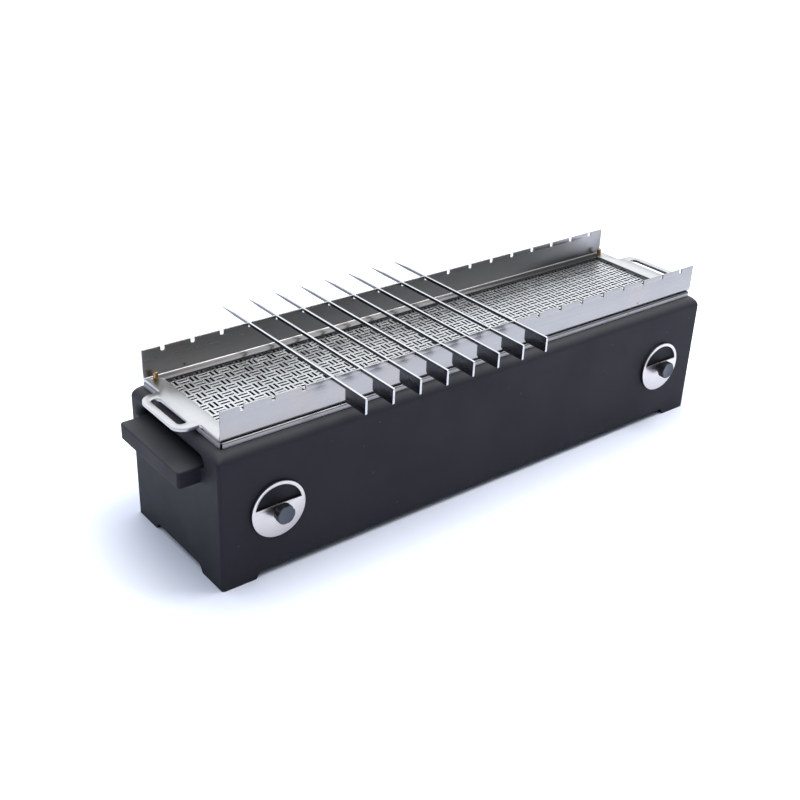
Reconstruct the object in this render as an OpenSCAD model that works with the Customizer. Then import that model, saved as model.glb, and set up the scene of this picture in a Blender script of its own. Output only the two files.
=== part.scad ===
/* [Rails and notches] */
// Distance from notch to notch along a rail
notch_pitch = 40; // [37:0.5:43]
// Number of notches in each rail
notch_count = 19; // [17:2:21]
// Length of rail left beyond the first and the last notch
rail_margin = 27.2; // [22:0.1:34]
// Height of a rail above the underside of the grate frame
rail_h = 39.1; // [34:0.1:46]
// Width of a notch
notch_w = 4.8; // [4.4:0.1:6]
// Depth of a notch
notch_d = 5; // [4:0.1:7]
// Corner radius at the bottom of a notch
notch_r = 1; // [0.4:0.1:1.8]
// Outer radius of the fold along the foot of a rail
fold_r = 5.5; // [4.8:0.1:7]

/* [Grate frame] */
// Thickness of the grate frame and of its rails
sheet_t = 4; // [3:0.1:4.4]
// Width across the outer faces of the two rails
grate_w = 180.2; // [170:0.2:192]
// Strip of frame between the weave window and the end of the frame
end_strip = 19.2; // [18:0.1:22]
// Strip of frame between the weave window and the outer face of a rail
side_strip = 18.7; // [18:0.1:21]
// Width of a loop handle along the end of the frame
loop_w = 94; // [84:0.5:104]
// Reach of a loop handle beyond the end of the frame
loop_reach = 29; // [26:0.5:34]
// Outer corner radius of a loop handle
loop_r = 16; // [12:0.5:20]
// Length of the finger slot in a loop handle
finger_l = 69; // [60:0.5:76]
// Width of the finger slot in a loop handle
finger_w = 12.4; // [11:0.1:14]
// Corner radius of the finger slot
finger_r = 5.8; // [4:0.1:5.9]
// Metal left between the finger slot and the outer edge of the loop
loop_bar = 8.4; // [7:0.1:10]
// Radius at the foot of a loop, where it leaves the frame
loop_root_r = 3; // [2:0.1:5]
// Length of the loop handle's root within the frame
loop_in = 10; // [6:0.5:14]

/* [Woven sheet] */
// Thickness of the perforated sheet below the frame
weave_t = 1.5; // [1:0.1:1.6]
// Overlap of the perforated sheet under the frame
weave_lap = 2.2; // [1.6:0.1:2.6]
// Length of one cell of the basket weave along the grill
cell_x = 13.54; // [13.2:0.02:15]
// Length of one cell of the basket weave across the grill
cell_y = 14; // [13.4:0.1:15]
// Length of one slot
cut_l = 12.2; // [10:0.1:12.6]
// Width of one slot
cut_w = 2.6; // [2:0.1:3]
// Metal between the two slots of a pair
cut_web = 3.6; // [3:0.1:4.2]
// Shift of the weave along the grill, from the middle
weave_dx = 2.8; // [-6:0.1:6]
// Shift of the weave across the grill, from the middle
weave_dy = 5.5; // [-6:0.1:6]

/* [Locating pins] */
// Diameter of a locating pin
pin_d = 6; // [5:0.1:6.4]
// Height of a pin above the grate frame
pin_rise = 9; // [6:0.1:12]
// Distance of a pin from the end of the frame
pin_in_x = 11.2; // [10.6:0.1:11.8]
// Distance of a pin from the outer face of a rail
pin_in_y = 11.6; // [11:0.1:12.2]
// Clearance round a pin in the grate frame
pin_clear = 0.3; // [0.2:0.05:0.5]
// Width across the flats of a pin's nut
pin_nut_af = 9; // [8.5:0.1:9.5]
// Height of a pin's nut
pin_nut_h = 2.9; // [2:0.1:3]

/* [Rim] */
// Height of the folded rim
rim_h = 6.8; // [6.6:0.1:9]
// Sheet thickness of the rim and of the fire liner
liner_t = 1.5; // [1:0.1:1.6]
// Outer radius of the rim's fold
rim_r = 2.4; // [2:0.1:3]
// How far the rim stands out past the end of the grate frame
rim_out = 1; // [0:0.1:1.6]
// Open slit between two skirts at a corner of the rim
rim_slit = 0.5; // [0.4:0.1:1.2]
// Gap that separates pieces that only rest on each other
seat_gap = 0.3; // [0.2:0.05:0.4]

/* [Body] */
// Height of the body
body_h = 178.5; // [172:0.5:190]
// Body left showing past the ends of the grate frame
end_reveal = 12; // [11:0.1:16]
// Body left showing past the rails
side_reveal = 12; // [11:0.1:16]
// Thickness of the trough's side walls
side_wall = 26; // [24.4:0.1:27.6]
// Thickness of the trough's end walls
end_wall = 28; // [26.8:0.1:30]
// Thickness of the trough's floor above the feet
floor_t = 18; // [14:0.5:22]
// Corner radius of the body seen from above
corner_r = 4; // [2:0.5:10]
// Radius of the body's top edge
edge_r = 14; // [10:0.5:16]
// Height of the feet
foot_h = 9.5; // [7:0.1:11]
// Length of a foot along the grill at the floor
foot_l = 45; // [38:0.5:54]
// Length of a foot across the grill at the floor
foot_w = 46; // [38:0.5:54]
// Lean of a foot's inner faces, from bottom to top
foot_lean = 5; // [2:0.1:7]
// Radius of the trough's upright inner corners
cavity_r = 8; // [6:0.5:12]

/* [Ledges and grips] */
// Reach of a carrying ledge beyond the end wall
ledge_reach = 27; // [22:0.5:32]
// Height of a carrying ledge
ledge_h = 22; // [18:0.1:26]
// Distance from the body's top down to a ledge's top
ledge_drop = 31.1; // [29:0.1:34]
// Length of a carrying ledge
ledge_l = 136; // [124:0.5:140]
// Shift of the ledges towards the back
ledge_dy = 7; // [0:0.5:9]
// Radius on the long edges of a ledge
ledge_r = 2.5; // [1:0.1:4]
// Depth of the finger hollow above a ledge
grip_d = 15; // [13:0.1:17]
// Height of the finger hollow above the ledge's top
grip_h = 22; // [18:0.1:24]
// Depth of the finger hollow below the ledge's top, beyond its ends
grip_low = 6; // [3:0.1:9]
// Length of the finger hollow
grip_l = 142; // [130:0.5:146]
// Shift of the finger hollow towards the back
grip_dy = 4; // [0:0.5:6]
// Radius of the finger hollow's corners
grip_r = 11; // [8:0.5:12]

/* [Air vents] */
// Distance of a vent's axis from the end of the body
vent_in = 74.2; // [70:0.1:98]
// Height of a vent's axis above the table
vent_z = 88; // [80:0.5:92]
// Diameter of a vent disc
disc_d = 71.5; // [66:0.5:76]
// Thickness of a vent disc
disc_t = 2; // [1.5:0.1:2.5]
// Rim of metal round the half-moon opening of a disc
disc_ring = 4.2; // [3:0.1:5]
// Distance of the half-moon's straight edge from the axis
moon_off = 6.6; // [5:0.1:8]
// Diameter of the half-moon hole through the wall
hole_d = 60; // [54:0.5:62]
// Thickness of the spacer washer behind a disc
washer_t = 2; // [1.4:0.1:2.6]
// Diameter of the spacer washer
washer_d = 10.4; // [9:0.1:11]
// Diameter of the threaded stud
stud_d = 6; // [5:0.1:6.4]
// Running clearance of a disc and its knob on the stud
stud_clear = 0.06; // [0.04:0.01:0.1]
// Diameter of a knob's head
knob_d = 24; // [21:0.5:26]
// Length of a knob's head
knob_head = 10; // [8:0.5:12]
// Length of a knob's neck
knob_neck = 6; // [4:0.5:8]
// Diameter of a knob's neck
knob_neck_d = 14; // [12:0.5:16]
// Number of lobes round a knob
knob_lobes = 6; // [5:1:8]
// Radius of the hollows between the lobes
knob_cut_r = 4.5; // [3.6:0.1:5]
// Depth of the hollows between the lobes
knob_cut = 1.2; // [0.8:0.1:2]
// Width of the chamfers round a knob's head
knob_bevel = 1.5; // [0.8:0.1:2]
// Width across the flats of a stud's nut
vent_nut_af = 10; // [9:0.1:11]
// Height of a stud's nut
vent_nut_h = 4; // [3:0.1:5]

/* [Skewers] */
// First notch, from the left, that holds a skewer
skewer_first = 3; // [2:1:5]
// Thickness of a skewer
skewer_t = 3; // [2.4:0.1:3.4]
// Height of a skewer's bar
bar_h = 4; // [3:0.1:4.6]
// Length of a skewer over all
skewer_l = 307; // [300:0.5:312]
// Distance of a skewer's handle end in front of the middle
skewer_front = 149; // [147:0.5:153]
// Length of the handle plate
plate_l = 38; // [34:0.5:40]
// Height of the handle plate
plate_h = 20; // [17:0.1:23]
// Length of the point
point_l = 30; // [20:0.5:40]
// Cut across the lower inner corner of a handle plate
plate_cut = 3; // [2:0.1:5]
// Cut across the upper outer corner of a handle plate
plate_nose = 1.2; // [0.6:0.1:2]
// Height of the blunt tip of a point
tip_h = 1.2; // [0.8:0.1:2]
// Thickness of the blunt tip of a point
tip_t = 0.8; // [0.6:0.1:1.4]
// Step by which single skewers lie further in or out
skewer_step = 0.5; // [0.3:0.1:0.6]

/* [Charcoal grid and ash tray] */
// Height of the charcoal grid's top above the table
grid_z = 95; // [90:0.5:110]
// Diameter of a grid rod
rod_d = 5; // [4:0.1:6]
// Distance between rods
rod_pitch = 18; // [16:0.5:24]
// Gap between the ends of the rods and the ends of the vent studs
grid_gap = 0.6; // [0.3:0.1:5]
// Free length left between the charcoal grid's bars and the liner's ends
grid_play = 40; // [30:0.5:48]
// Height of a side bar below the rods
grid_bar_h = 10; // [8:0.1:12]
// Thickness of a side bar below the rods
grid_bar_t = 4; // [3:0.1:6]
// Distance of a side bar from the ends of the rods
grid_bar_in = 7.5; // [5:0.1:12]
// Length of a side bar beyond the last rod
grid_bar_over = 6; // [4:0.1:8]
// Height of the ash tray
tray_h = 20; // [14:0.5:22]
// Room between the ash tray and the liner, across both sides
tray_room = 26; // [22:0.5:30]
// Radius of the ash tray's upright corners
tray_r = 8; // [5:0.5:10]
// Sheet thickness of the ash tray
tray_t = 1.2; // [1:0.1:1.6]
// Distance of the outer brackets that carry the grid from the middle
bracket_x = 220; // [180:1:250]
// Length of a bracket along the grill
bracket_l = 20; // [14:0.5:30]
// Thickness of a bracket
bracket_t = 3; // [2:0.1:4]
// Reach of a bracket from the liner's outer face
bracket_reach = 18; // [16:0.5:20]

/* [Hidden] */
$fn = 64;
rail_l = (notch_count - 1) * notch_pitch + 2 * rail_margin;
half_l = rail_l / 2;
half_w = grate_w / 2;
body_l = rail_l + 2 * end_reveal;
body_w = grate_w + 2 * side_reveal;
cavity_l = body_l - 2 * end_wall;
cavity_w = body_w - 2 * side_wall;
cavity_z = foot_h + floor_t;
vent_x = body_l / 2 - vent_in;
rim_z = body_h + seat_gap;
rim_top = rim_z + rim_h;
rim_l = rail_l + 2 * rim_out;
rim_w = grate_w;
grate_z = rim_top + seat_gap;
plate_z = grate_z + sheet_t;
rail_top = grate_z + rail_h;
window_l = rail_l - 2 * end_strip;
window_w = grate_w - 2 * side_strip;
weave_l = window_l + 2 * weave_lap;
weave_w = window_w + 2 * weave_lap;
rim_window_l = weave_l + 4 * seat_gap;
rim_window_w = weave_w + 4 * seat_gap;
foot_in = fold_r + 0.5;
pin_x = half_l - pin_in_x;
pin_y = half_w - pin_in_y;
liner_l = cavity_l - 10 * seat_gap;
liner_w = cavity_w - 10 * seat_gap;
liner_z = cavity_z + seat_gap;
liner_top = rim_z + liner_t;
flange_l = rim_l - 2 * rim_r - 2 * liner_t - 1;
flange_w = rim_w - 2 * rim_r - 2 * liner_t - 1;
tray_z = liner_z + liner_t + seat_gap;
liner_r = cavity_r - 1;
flange_r = cavity_r + 1;
tray_l = liner_l - tray_room;
tray_w = liner_w - tray_room;
grid_bar_z = grid_z - rod_d - grid_bar_h + 1;
wall_y = -body_w / 2;
disc_y = wall_y - washer_t - seat_gap;
knob_y = disc_y - disc_t;
stud_out = knob_y - knob_neck - knob_head + 5.6;
liner_in_y = -liner_w / 2 + liner_t;
stud_in = liner_in_y + vent_nut_h + 1;
grid_w = -2 * (stud_in + grid_gap);
ledge_z = body_h - ledge_drop - ledge_h;
bar_z = rail_top - notch_d + seat_gap;
bar_top = bar_z + bar_h;
cut_step = cut_w + cut_web;
// How many steps each skewer lies further in than the first notch line
skewer_slide = [-7, -2, 1, 1, 1, 2, 2, 3];

// Rectangle with round corners, centred
module round_rect(l, w, r) {
  square([l - 2 * r, w], center = true);
  square([l, w - 2 * r], center = true);
  for (x = [-1, 1], y = [-1, 1])
    translate([x * (l / 2 - r), y * (w / 2 - r)])
      circle(r);
}

// Draws a YZ profile and stretches it along X over a length, centred
module along_x(length) {
  rotate([90, 0, 90])
    translate([0, 0, -length / 2])
      linear_extrude(length)
        children();
}

// Draws an XZ profile and stretches it along Y over a length, centred
module along_y(length) {
  translate([0, length / 2, 0])
    rotate([90, 0, 0])
      linear_extrude(length)
        children();
}

// Outline with a flat foot and a rounded top edge
module dome_rect(l, h, r) {
  translate([-l / 2, 0])
    square([l, h - r]);
  translate([-l / 2 + r, 0])
    square([l - 2 * r, h]);
  for (x = [-1, 1])
    translate([x * (l / 2 - r), h - r])
      circle(r);
}

// Trough body
module body_block() {
  intersection() {
    linear_extrude(body_h)
      round_rect(body_l, body_w, corner_r);
    along_y(body_w + 2)
      dome_rect(body_l, body_h, edge_r);
    along_x(body_l + 2)
      dome_rect(body_w, body_h, edge_r);
  }
}

// Carrying ledge, rooted in the wall behind the finger hollow
module ledge() {
  root = grip_d + 2;
  full = root + ledge_reach;
  translate([body_l / 2 - root, ledge_dy, ledge_z])
    along_y(ledge_l)
      translate([full / 2, ledge_h / 2])
        difference() {
          square([full, ledge_h], center = true);
          for (z = [-1, 1])
            translate([full / 2, z * ledge_h / 2])
              difference() {
                square(2 * ledge_r, center = true);
                translate([-ledge_r, -z * ledge_r])
                  circle(ledge_r);
              }
        }
}

// Finger hollow in the end wall, round the ledge's root and above it
module grip_hollow() {
  tall = grip_h + grip_low;
  translate([body_l / 2, grip_dy, ledge_z + ledge_h - grip_low])
    intersection() {
      along_x(4 * grip_d)
        dome_rect(grip_l, tall, grip_r);
      along_y(grip_l + 2) {
        translate([-grip_d, 0])
          square([2 * grip_d, tall - grip_r]);
        translate([-grip_d + grip_r, 0])
          square([2 * grip_d - grip_r, tall]);
        translate([-grip_d + grip_r, tall - grip_r])
          circle(grip_r);
      }
      translate([0, 0, -1])
        linear_extrude(tall + 2)
          round_rect(2 * grip_d, grip_l, grip_r);
    }
}

// Space under the body between the feet, as a sloping-sided profile
module under_gap(l, depth) {
  polygon([[-l / 2, -1], [l / 2, -1], [l / 2 - depth * foot_lean / foot_h, depth],
    [-l / 2 + depth * foot_lean / foot_h, depth]]);
}

module body() {
  color([0.17, 0.17, 0.19])
    difference() {
      union() {
        difference() {
          body_block();
          for (s = [0, 1])
            mirror([s, 0, 0])
              grip_hollow();
        }
        for (s = [0, 1])
          mirror([s, 0, 0])
            ledge();
      }
      translate([0, 0, cavity_z])
        linear_extrude(body_h)
          round_rect(cavity_l, cavity_w, cavity_r);
      along_y(body_w + 4)
        under_gap(body_l - 2 * foot_l, foot_h);
      along_x(body_l + 4)
        under_gap(body_w - 2 * foot_w, foot_h);
      for (x = [-1, 1]) {
        translate([x * vent_x, 0, vent_z])
          moon_hole(wall_y - 1, wall_y + side_wall + 1, -1, hole_d / 2);
        translate([x * vent_x, wall_y + side_wall + 1, vent_z])
          rotate([90, 0, 0])
            cylinder(h = side_wall + 2, r = stud_d / 2 + stud_clear);
      }
    }
}

// Half-moon prism from one Y to another; side is 1 above the axis, -1 below
module moon_hole(y0, y1, side, r) {
  translate([0, y1, 0])
    rotate([90, 0, 0])
      linear_extrude(y1 - y0)
        intersection() {
          circle(r);
          translate([-r - 1, side > 0 ? moon_off : -moon_off - 2 * r])
            square([2 * r + 2, 2 * r]);
        }
}

// Sheet-metal trough that holds the embers, hung on the body's top
module fire_liner() {
  color([0.38, 0.36, 0.34])
    difference() {
      union() {
        translate([0, 0, liner_z])
          linear_extrude(liner_top - liner_z)
            round_rect(liner_l, liner_w, liner_r);
        translate([0, 0, rim_z])
          linear_extrude(liner_t)
            round_rect(flange_l, flange_w, flange_r);
      }
      difference() {
        translate([0, 0, liner_z + liner_t])
          linear_extrude(body_h)
            round_rect(liner_l - 2 * liner_t, liner_w - 2 * liner_t, liner_r - liner_t);
        for (x = [-1, 0, 1], y = [-1, 1])
          translate([x * bracket_x, y * liner_w / 2, grid_bar_z - seat_gap - bracket_t / 2])
            cube([bracket_l, 2 * bracket_reach, bracket_t], center = true);
      }
      for (x = [-1, 1]) {
        translate([x * vent_x, 0, vent_z])
          moon_hole(-liner_w / 2 - 1, liner_in_y + 1, -1, hole_d / 2 - 1);
        translate([x * vent_x, liner_in_y + 1, vent_z])
          rotate([90, 0, 0])
            cylinder(h = liner_t + 2, r = stud_d / 2 + stud_clear);
      }
    }
}

// Rods across two side bars, resting on the liner's brackets
module charcoal_grid() {
  rods = floor((liner_l - grid_play) / rod_pitch);
  run = rods * rod_pitch;
  color([0.25, 0.24, 0.24]) {
    for (y = [-1, 1])
      translate([0, y * (grid_w / 2 - grid_bar_in), grid_bar_z + grid_bar_h / 2])
        cube([run + 2 * grid_bar_over, grid_bar_t, grid_bar_h], center = true);
    for (i = [0 : rods])
      translate([(i - rods / 2) * rod_pitch, 0, grid_z - rod_d / 2])
        rotate([90, 0, 0])
          cylinder(h = grid_w, d = rod_d, center = true);
  }
}

// Shallow pan on the liner's floor, below the grid
module ash_tray() {
  color([0.45, 0.45, 0.46])
    translate([0, 0, tray_z])
      difference() {
        linear_extrude(tray_h)
          round_rect(tray_l, tray_w, tray_r);
        translate([0, 0, tray_t])
          linear_extrude(tray_h)
            round_rect(tray_l - 2 * tray_t, tray_w - 2 * tray_t, tray_r - tray_t);
      }
}

// Side view of a folded skirt, from the start of the fold outwards
module skirt_profile() {
  translate([-0.5, rim_h - liner_t])
    square([0.5, liner_t]);
  translate([0, rim_h - rim_r])
    intersection() {
      difference() {
        circle(rim_r);
        circle(rim_r - liner_t);
      }
      square(rim_r);
    }
  translate([rim_r - liner_t, 0])
    square([liner_t, rim_h - rim_r]);
}

// Flat ring with four folded-down skirts, slit at the corners
module rim() {
  side_run = rim_l - 2 * rim_r - 2 * rim_slit;
  end_run = rim_w - 2 * rim_r - 2 * rim_slit;
  color([0.72, 0.72, 0.76])
    translate([0, 0, rim_z]) {
      translate([0, 0, rim_h - liner_t])
        linear_extrude(liner_t)
          difference() {
            square([rim_l - 2 * rim_r - 1, rim_w - 2 * rim_r - 1], center = true);
            square([rim_window_l, rim_window_w], center = true);
            for (x = [-1, 1], y = [-1, 1])
              translate([x * pin_x, y * pin_y])
                circle(pin_d / 2 + stud_clear);
          }
      for (s = [0, 1])
        mirror([0, s, 0])
          along_x(side_run)
            translate([rim_w / 2 - rim_r, 0])
              skirt_profile();
      for (s = [0, 1])
        mirror([s, 0, 0])
          along_y(end_run)
            translate([rim_l / 2 - rim_r, 0])
              skirt_profile();
    }
}

// Locating pin standing on the rim, with a slightly rounded top
module pin(x, y) {
  top = plate_z + pin_rise;
  low = rim_top - liner_t - pin_nut_h - 0.2;
  color([0.78, 0.6, 0.32])
    translate([x, y, 0]) {
      translate([0, 0, low])
        cylinder(h = top - 0.8 - low, d = pin_d);
      translate([0, 0, top - 0.8])
        cylinder(h = 0.8, d1 = pin_d, d2 = pin_d - 1.6);
    }
}

module pin_nut(x, y) {
  color([0.7, 0.56, 0.32])
    translate([x, y, rim_top - liner_t - pin_nut_h])
      difference() {
        cylinder(h = pin_nut_h, d = pin_nut_af / cos(30), $fn = 6);
        translate([0, 0, -1])
          cylinder(h = pin_nut_h + 2, r = pin_d / 2 + stud_clear);
      }
}

// Loop handle seen from above, at the right-hand end
module loop_outline() {
  translate([half_l - loop_in, -loop_w / 2])
    square([loop_in + loop_reach - loop_r, loop_w]);
  translate([half_l - loop_in, -loop_w / 2 + loop_r])
    square([loop_in + loop_reach, loop_w - 2 * loop_r]);
  for (y = [-1, 1]) {
    translate([half_l + loop_reach - loop_r, y * (loop_w / 2 - loop_r)])
      circle(loop_r);
    difference() {
      translate([half_l, y * (loop_w / 2 + loop_root_r / 2)])
        square([2 * loop_root_r, loop_root_r], center = true);
      translate([half_l + loop_root_r, y * (loop_w / 2 + loop_root_r)])
        circle(loop_root_r);
    }
  }
}

// Right-hand end of the frame, with its loop handle and finger slot
module end_plate() {
  color([0.86, 0.87, 0.89])
    translate([0, 0, grate_z])
      linear_extrude(sheet_t)
        difference() {
          union() {
            translate([window_l / 2, -half_w + foot_in])
              square([end_strip, grate_w - 2 * foot_in]);
            loop_outline();
          }
          translate([half_l + loop_reach - loop_bar - finger_w / 2, 0])
            round_rect(finger_w, finger_l, finger_r);
          for (y = [-1, 1])
            translate([pin_x, y * pin_y])
              circle(pin_d / 2 + pin_clear);
        }
}

// Strip of the frame along the back, between the window and the rail's foot
module side_strip() {
  color([0.86, 0.87, 0.89])
    translate([-window_l / 2, window_w / 2, grate_z])
      cube([window_l, half_w - foot_in - window_w / 2, sheet_t]);
}

// One slot of the weave, kept inside the sheet's visible field
module slot(x0, x1, y0, y1) {
  a = max(x0, -window_l / 2 - 0.6);
  b = min(x1, window_l / 2 + 0.6);
  c = max(y0, -window_w / 2 - 0.6);
  d = min(y1, window_w / 2 + 0.6);
  if (b - a > 0.5 && d - c > 0.5)
    translate([a, c])
      square([b - a, d - c]);
}

// Two slots of one cell: along the grill in one cell, across it in the next
module slot_pair(cx, cy, flat) {
  for (s = [-0.5, 0.5])
    if (flat)
      slot(cx - cut_l / 2, cx + cut_l / 2,
        cy + s * cut_step - cut_w / 2, cy + s * cut_step + cut_w / 2);
    else
      slot(cx + s * cut_step - cut_w / 2, cx + s * cut_step + cut_w / 2,
        cy - cut_l / 2, cy + cut_l / 2);
}

// Basket-weave sheet: pairs of slots that turn by a right angle from cell to cell
module woven_sheet() {
  ni = ceil(window_l / 2 / cell_x) + 1;
  nj = ceil(window_w / 2 / cell_y) + 1;
  color([0.8, 0.81, 0.83])
    translate([0, 0, grate_z - weave_t])
      linear_extrude(weave_t)
        difference() {
          square([weave_l, weave_w], center = true);
          for (i = [-ni : ni], j = [-nj : nj])
            slot_pair(weave_dx + i * cell_x, weave_dy + j * cell_y, (i + j) % 2 == 0);
        }
}

// Rail at the back: foot, fold and upright leg in one section
module rail_section() {
  translate([half_w - foot_in, 0])
    square([foot_in - fold_r, sheet_t]);
  translate([half_w - fold_r, fold_r])
    intersection() {
      difference() {
        circle(fold_r);
        circle(fold_r - sheet_t);
      }
      translate([0, -fold_r])
        square(fold_r);
    }
  translate([half_w - sheet_t, fold_r])
    square([sheet_t, rail_h - fold_r]);
}

module rail() {
  translate([0, 0, grate_z])
    difference() {
      along_x(rail_l)
        rail_section();
      for (i = [0 : notch_count - 1])
        translate([-half_l + rail_margin + i * notch_pitch, half_w, rail_h])
          along_y(4 * sheet_t)
            notch_shape();
    }
}

// Notch with a flat bottom and two small corner radii
module notch_shape() {
  translate([-notch_w / 2, -notch_d + notch_r])
    square([notch_w, notch_d - notch_r + 1]);
  translate([-notch_w / 2 + notch_r, -notch_d])
    square([notch_w - 2 * notch_r, notch_d]);
  for (x = [-1, 1])
    translate([x * (notch_w / 2 - notch_r), -notch_d + notch_r])
      circle(notch_r, $fn = 32);
}

module back_rail() {
  color([0.5, 0.51, 0.53])
    rail();
}

module front_rail() {
  color([0.78, 0.78, 0.84])
    mirror([0, 1, 0])
      rail();
}

// Flat bar with a point at the back and a plate for a handle in front
module skewer(k) {
  y0 = -skewer_front + skewer_slide[k] * skewer_step;
  y1 = y0 + skewer_l;
  x = -half_l + rail_margin + (skewer_first + k) * notch_pitch;
  low = bar_top - plate_h;
  tip_z = bar_z + 0.3 * bar_h;
  color([0.8, 0.8, 0.83])
    translate([x, 0, 0])
      intersection() {
        along_x(skewer_t)
          polygon([[y0 + plate_nose, bar_top], [y0, bar_top - plate_nose], [y0, low],
            [y0 + plate_l - plate_cut, low], [y0 + plate_l, low + plate_cut],
            [y0 + plate_l, bar_z], [y1 - point_l, bar_z], [y1, tip_z - tip_h / 2],
            [y1, tip_z + tip_h / 2], [y1 - point_l, bar_top]]);
        translate([0, 0, low - 1])
          linear_extrude(plate_h + 2)
            polygon([[-skewer_t / 2, y0 - 1], [skewer_t / 2, y0 - 1],
              [skewer_t / 2, y1 - point_l], [tip_t / 2, y1 + 0.1],
              [-tip_t / 2, y1 + 0.1], [-skewer_t / 2, y1 - point_l]]);
      }
}

// Disc with a half-moon opening above its axis, in the closed position
module vent_disc(x) {
  color([0.85, 0.86, 0.88])
    translate([x, disc_y, vent_z])
      rotate([90, 0, 0])
        linear_extrude(disc_t)
          difference() {
            circle(disc_d / 2);
            circle(stud_d / 2 + stud_clear);
            intersection() {
              circle(disc_d / 2 - disc_ring);
              translate([-disc_d, moon_off])
                square(2 * disc_d);
            }
          }
}

// Lobed knob on a neck, with a blind bore for the stud
module vent_knob(x) {
  color([0.09, 0.09, 0.1])
    translate([x, knob_y, vent_z])
      rotate([90, 0, 0])
        difference() {
          union() {
            cylinder(h = knob_neck + 1, d = knob_neck_d);
            translate([0, 0, knob_neck])
              cylinder(h = knob_bevel, d1 = knob_d - 2 * knob_bevel, d2 = knob_d);
            translate([0, 0, knob_neck + knob_bevel])
              cylinder(h = knob_head - 2 * knob_bevel, d = knob_d);
            translate([0, 0, knob_neck + knob_head - knob_bevel])
              cylinder(h = knob_bevel, d1 = knob_d, d2 = knob_d - 2 * knob_bevel);
          }
          for (i = [0 : knob_lobes - 1])
            rotate([0, 0, 90 + (i + 0.5) * 360 / knob_lobes])
              translate([knob_d / 2 + knob_cut_r - knob_cut, 0, knob_neck - 1])
                cylinder(h = knob_head + 2, r = knob_cut_r);
          translate([0, 0, -1])
            cylinder(h = knob_neck + knob_head - 4, r = stud_d / 2 + stud_clear);
        }
}

// Threaded stud through the wall and the liner
module vent_stud(x) {
  color([0.6, 0.6, 0.62])
    translate([x, stud_in, vent_z])
      rotate([90, 0, 0])
        cylinder(h = stud_in - stud_out, d = stud_d);
}

// Spacer between the wall and the disc
module vent_washer(x) {
  color([0.6, 0.6, 0.62])
    translate([x, wall_y, vent_z])
      rotate([90, 0, 0])
        difference() {
          cylinder(h = washer_t, d = washer_d);
          translate([0, 0, -1])
            cylinder(h = washer_t + 2, r = stud_d / 2 + stud_clear);
        }
}

// Nut that holds the stud against the inside of the liner
module vent_nut(x) {
  color([0.6, 0.6, 0.62])
    translate([x, liner_in_y + vent_nut_h, vent_z])
      rotate([90, 0, 0])
        difference() {
          cylinder(h = vent_nut_h, d = vent_nut_af / cos(30), $fn = 6);
          translate([0, 0, -1])
            cylinder(h = vent_nut_h + 2, r = stud_d / 2 + stud_clear);
        }
}

body();
fire_liner();
charcoal_grid();
ash_tray();
rim();
pin(-pin_x, -pin_y);  // pin_1
pin(pin_x, -pin_y);  // pin_2
pin(-pin_x, pin_y);  // pin_3
pin(pin_x, pin_y);  // pin_4
pin_nut(-pin_x, -pin_y);  // pin_nut_1
pin_nut(pin_x, -pin_y);  // pin_nut_2
pin_nut(-pin_x, pin_y);  // pin_nut_3
pin_nut(pin_x, pin_y);  // pin_nut_4
mirror([1, 0, 0]) end_plate();  // end_plate_left
end_plate();  // end_plate_right
mirror([0, 1, 0]) side_strip();  // side_strip_front
side_strip();  // side_strip_back
woven_sheet();
front_rail();
back_rail();
skewer(0);  // skewer_1
skewer(1);  // skewer_2
skewer(2);  // skewer_3
skewer(3);  // skewer_4
skewer(4);  // skewer_5
skewer(5);  // skewer_6
skewer(6);  // skewer_7
skewer(7);  // skewer_8
vent_disc(-vent_x);  // vent_disc_left
vent_disc(vent_x);  // vent_disc_right
vent_knob(-vent_x);  // vent_knob_left
vent_knob(vent_x);  // vent_knob_right
vent_stud(-vent_x);  // vent_stud_left
vent_stud(vent_x);  // vent_stud_right
vent_washer(-vent_x);  // vent_washer_left
vent_washer(vent_x);  // vent_washer_right
vent_nut(-vent_x);  // vent_nut_left
vent_nut(vent_x);  // vent_nut_right
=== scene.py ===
from math import asin, ceil, cos, pi, radians, sin, sqrt, tan

import bmesh
import bpy
from bpy.props import FloatProperty, FloatVectorProperty, IntProperty, PointerProperty
from bpy.types import Operator, Panel, PropertyGroup
from mathutils import Matrix, Vector


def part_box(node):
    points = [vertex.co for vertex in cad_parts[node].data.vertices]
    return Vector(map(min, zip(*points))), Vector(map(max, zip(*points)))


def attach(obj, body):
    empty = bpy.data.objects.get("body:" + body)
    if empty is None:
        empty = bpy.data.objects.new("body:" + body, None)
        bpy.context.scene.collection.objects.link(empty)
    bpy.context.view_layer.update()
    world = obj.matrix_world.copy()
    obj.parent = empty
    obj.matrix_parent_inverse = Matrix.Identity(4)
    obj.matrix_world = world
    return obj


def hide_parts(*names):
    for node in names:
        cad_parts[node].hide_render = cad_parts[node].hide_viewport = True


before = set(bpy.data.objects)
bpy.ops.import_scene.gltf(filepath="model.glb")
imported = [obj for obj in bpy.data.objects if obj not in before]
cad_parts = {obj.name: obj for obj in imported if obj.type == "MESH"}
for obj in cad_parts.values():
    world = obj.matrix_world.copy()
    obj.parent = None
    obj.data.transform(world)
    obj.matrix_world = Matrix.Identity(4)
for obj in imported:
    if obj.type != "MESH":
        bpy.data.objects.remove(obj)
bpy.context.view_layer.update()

bl_info = {
    "name": "Tabletop grill",
    "version": (1, 0, 0),
    "blender": (4, 5, 0),
    "location": "View3D > Sidebar > Grill",
    "description": "Dresses the packed tabletop grill in cast black, sheet steel and brass",
    "category": "Object",
}

MM = 0.001

# How far a cutter runs out past the metal
CLEAR = 10 * MM
# Points closer than this are welded, and points closer than the next count as touching a line
WELD = 0.01 * MM
TOUCH = 0.001 * MM
# Faces that meet at less than this are joined into one
FLAT = radians(0.5)
# Largest turn between two points of an arc, and the steps of a rail's fold
ARC_STEP = radians(11)
FOLD_STEPS = 12
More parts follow.
